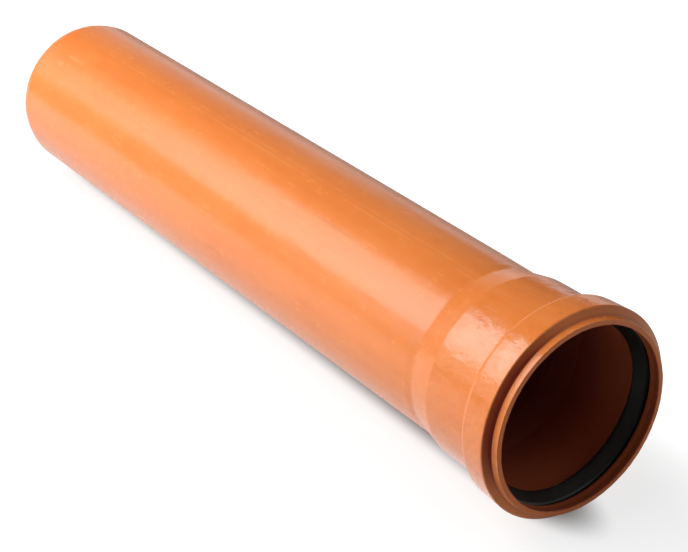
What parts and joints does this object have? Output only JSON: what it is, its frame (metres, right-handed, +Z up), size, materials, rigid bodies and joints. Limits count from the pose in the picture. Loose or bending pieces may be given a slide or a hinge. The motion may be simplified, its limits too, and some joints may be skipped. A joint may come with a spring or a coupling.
{
  "type": "plastic sewer pipe",
  "caption": "Short orange-brown plastic sewer pipe with a chamfered plain end and a formed push-fit socket that holds a black rubber lip seal.",
  "frame": {"origin": "middle of the footprint on the ground, under the middle of the pipe's length", "axes": "+X along the pipe towards its socketed mouth, +Z up, +Y to the left when looking out of the mouth"},
  "size_m": [0.5718, 0.129, 0.129],
  "materials": {
    "pvc_orange": "satin-gloss orange-brown unplasticised PVC",
    "seal_rubber": "black moulded rubber with a slight sheen"
  },
  "bodies": {
    "root": {"pipe": "pvc_orange", "seal_ring": "seal_rubber"}
  },
  "joints": []
}
